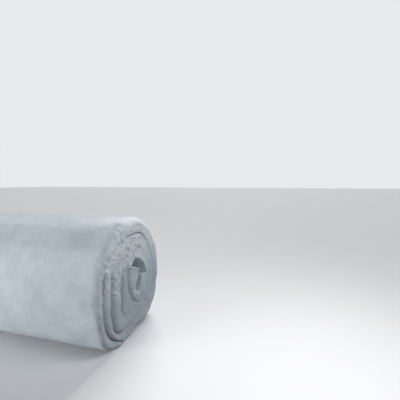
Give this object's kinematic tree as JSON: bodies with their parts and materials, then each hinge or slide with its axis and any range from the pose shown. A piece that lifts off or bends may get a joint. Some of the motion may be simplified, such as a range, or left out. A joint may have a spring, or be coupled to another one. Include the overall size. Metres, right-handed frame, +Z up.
{
  "type": "insulation roll",
  "caption": "Roll of thick white insulation wool, one long mat wound on itself with its turns showing on both ends, sagged a little where it lies on the floor.",
  "frame": {"origin": "on the floor, under the middle of the roll's outline", "axes": "+X along the roll to the end seen in the picture, +Y across it and away from the viewer, +Z up"},
  "size_m": [1.2, 0.7, 0.6858],
  "materials": {
    "wool": "soft matt fibres"
  },
  "bodies": {
    "root": {"wool_roll": "wool"}
  },
  "joints": []
}
